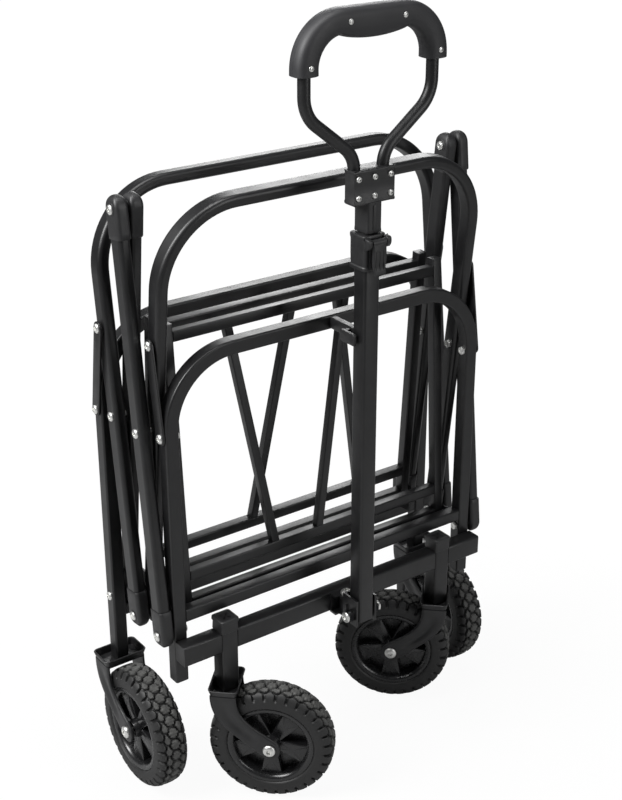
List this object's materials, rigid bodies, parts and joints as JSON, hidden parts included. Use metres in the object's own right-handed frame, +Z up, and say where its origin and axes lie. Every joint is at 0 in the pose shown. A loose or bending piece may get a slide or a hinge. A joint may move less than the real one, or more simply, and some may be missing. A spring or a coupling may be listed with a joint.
{
  "type": "folding utility wagon frame",
  "caption": "Folded collapsible wagon frame with scissor sides, folding floor, swivel front wheels and telescoping pull handle.",
  "frame": {"origin": "on the ground midway between the folded end frames, under the middle pivots", "axes": "+X forwards to the pull handle, +Y across the frame, +Z up"},
  "size_m": [0.2942, 0.622, 1.096],
  "materials": {
    "black_frame": "semi-gloss black powder coat",
    "black_steel_forks": "satin black powder coat",
    "moulded_caps": "moulded black plastic with fine grain",
    "grip_plastic": "soft-touch dark grey moulding",
    "plated_steel": "zinc plated",
    "dark_spring_steel": "blackened spring wire",
    "rim_plastic": "moulded gloss black",
    "tyre_rubber": "matt rubber"
  },
  "bodies": {
    "front_frame": {"front_arch": "black_frame", "steering_crossbar": "black_frame", "front_rail": "black_frame", "caster_posts": "black_frame", "frame_plugs": "moulded_caps", "steering_bracket": "black_frame", "king_bolt": "plated_steel", "front_frame_bolts": "plated_steel", "front_floor_hinges": "black_frame"},
    "front_bars": {"front_bar_left": "black_frame", "front_bar_right": "black_frame", "front_bar_caps": "moulded_caps", "front_bar_bolts": "plated_steel"},
    "rear_bars": {"rear_bar_left": "black_frame", "rear_bar_right": "black_frame", "rear_bar_caps": "moulded_caps", "rear_bar_bolts": "plated_steel"},
    "rear_frame": {"rear_arch": "black_frame", "rear_rail": "black_frame", "rear_frame_bolts": "plated_steel", "rear_floor_hinges": "black_frame", "fork_rear_left": "black_steel_forks", "fork_rear_right": "black_steel_forks", "rear_axles": "plated_steel"},
    "front_upper": {"front_upper_arch": "black_frame", "front_arch_caps": "moulded_caps"},
    "rear_upper": {"rear_upper_arch": "black_frame", "rear_arch_caps": "moulded_caps", "middle_bolts": "plated_steel"},
    "front_link_pair": {"front_links": "black_frame"},
    "rear_link_pair": {"rear_links": "black_frame"},
    "front_floor": {"front_floor_side_tubes": "black_frame", "front_floor_cross_tubes": "black_frame"},
    "rear_floor": {"rear_floor_side_tubes": "black_frame", "rear_floor_cross_tubes": "black_frame"},
    "caster_left": {"fork_front_left": "black_steel_forks", "axle_front_left": "plated_steel"},
    "caster_right": {"fork_front_right": "black_steel_forks", "axle_front_right": "plated_steel"},
    "wheel_front_left": {"rim_front_left": "rim_plastic", "tyre_front_left": "tyre_rubber"},
    "wheel_front_right": {"rim_front_right": "rim_plastic", "tyre_front_right": "tyre_rubber"},
    "wheel_rear_left": {"rim_rear_left": "rim_plastic", "tyre_rear_left": "tyre_rubber"},
    "wheel_rear_right": {"rim_rear_right": "rim_plastic", "tyre_rear_right": "tyre_rubber"},
    "yoke": {"handle_yoke": "black_frame", "tilt_pin": "plated_steel", "tilt_springs": "dark_spring_steel"},
    "mast": {"handle_outer_tube": "black_frame", "lock_collar": "moulded_caps", "lever_pin": "plated_steel"},
    "grab_handle": {"handle_inner_tube": "black_frame", "loop_plates": "moulded_caps", "handle_loop": "black_frame", "grip_front": "grip_plastic", "grip_rear": "grip_plastic", "handle_screws": "plated_steel"},
    "lever": {"lock_lever": "moulded_caps"}
  },
  "joints": [
    {"name": "fold", "type": "hinge", "parent": "front_frame", "child": "front_bars", "pos_m": [0.065, 0, 0.275], "axis": [0, -1, 0], "range_deg": [0, 34.61]},
    {"name": "scissor", "type": "hinge", "parent": "front_bars", "child": "rear_bars", "pos_m": [0, 0, 0.855], "axis": [0, 1, 0], "range_deg": [0, 69.22]},
    {"name": "rear_frame_swing", "type": "hinge", "parent": "rear_bars", "child": "rear_frame", "pos_m": [-0.065, 0, 0.275], "axis": [0, -1, 0], "range_deg": [0, 34.61]},
    {"name": "front_arch_cross", "type": "hinge", "parent": "front_bars", "child": "front_upper", "pos_m": [0.0325, 0, 0.565], "axis": [0, 1, 0], "range_deg": [0, 69.22]},
    {"name": "rear_arch_cross", "type": "hinge", "parent": "rear_bars", "child": "rear_upper", "pos_m": [-0.0325, 0, 0.565], "axis": [0, -1, 0], "range_deg": [0, 69.22]},
    {"name": "front_link_swing", "type": "hinge", "parent": "front_frame", "child": "front_link_pair", "pos_m": [0.065, 0, 0.565], "axis": [0, -1, 0], "range_deg": [0, 69.75]},
    {"name": "rear_link_swing", "type": "hinge", "parent": "rear_frame", "child": "rear_link_pair", "pos_m": [-0.065, 0, 0.565], "axis": [0, 1, 0], "range_deg": [0, 69.75]},
    {"name": "front_floor_hinge", "type": "hinge", "parent": "front_frame", "child": "front_floor", "pos_m": [0.041, 0, 0.296], "axis": [0, -1, 0], "range_deg": [0, 49.85]},
    {"name": "rear_floor_hinge", "type": "hinge", "parent": "rear_frame", "child": "rear_floor", "pos_m": [-0.041, 0, 0.296], "axis": [0, 1, 0], "range_deg": [0, 49.85]},
    {"name": "swivel_left", "type": "hinge", "parent": "front_frame", "child": "caster_left", "pos_m": [0.087, -0.19, 0.171], "axis": [0, 0, 1], "range_deg": [-90, 120]},
    {"name": "swivel_right", "type": "hinge", "parent": "front_frame", "child": "caster_right", "pos_m": [0.087, 0.19, 0.171], "axis": [0, 0, 1], "range_deg": [-30, 180]},
    {"name": "spin_front_left", "type": "hinge", "parent": "caster_left", "child": "wheel_front_left", "pos_m": [0.13146, -0.14396, 0.089], "axis": [-0.7193, 0.6947, 0], "continuous": true},
    {"name": "spin_front_right", "type": "hinge", "parent": "caster_right", "child": "wheel_front_right", "pos_m": [0.04254, 0.14396, 0.089], "axis": [0.7193, -0.6947, 0], "continuous": true},
    {"name": "spin_rear_left", "type": "hinge", "parent": "rear_frame", "child": "wheel_rear_left", "pos_m": [-0.001, -0.275, 0.089], "axis": [0, 1, 0], "continuous": true},
    {"name": "spin_rear_right", "type": "hinge", "parent": "rear_frame", "child": "wheel_rear_right", "pos_m": [-0.001, 0.275, 0.089], "axis": [0, 1, 0], "continuous": true},
    {"name": "steer", "type": "hinge", "parent": "front_frame", "child": "yoke", "pos_m": [0.112, 0, 0.25], "axis": [0, 0, 1], "range_deg": [-30, 30]},
    {"name": "handle_tilt", "type": "hinge", "parent": "yoke", "child": "mast", "pos_m": [0.146, 0, 0.252], "axis": [0, 1, 0], "range_deg": [0, 95], "stiffness_Nm_per_rad": 17, "springref_deg": -0.04},
    {"name": "handle_slide", "type": "slide", "parent": "mast", "child": "grab_handle", "axis": [0, 0, 1], "range_m": [0, 0.25]},
    {"name": "lock_lever_swing", "type": "hinge", "parent": "mast", "child": "lever", "pos_m": [0.169, 0, 0.804], "axis": [0, -1, 0], "range_deg": [0, 100]}
  ],
  "couplings": [
    {"joint": "scissor", "follows": "fold", "ratio": 2},
    {"joint": "rear_frame_swing", "follows": "fold", "ratio": 1},
    {"joint": "front_arch_cross", "follows": "fold", "ratio": 2},
    {"joint": "rear_arch_cross", "follows": "fold", "ratio": 2},
    {"joint": "front_link_swing", "follows": "fold", "ratio": 2.015},
    {"joint": "rear_link_swing", "follows": "fold", "ratio": 2.015},
    {"joint": "front_floor_hinge", "follows": "fold", "ratio": 1.44},
    {"joint": "rear_floor_hinge", "follows": "fold", "ratio": 1.44}
  ]
}
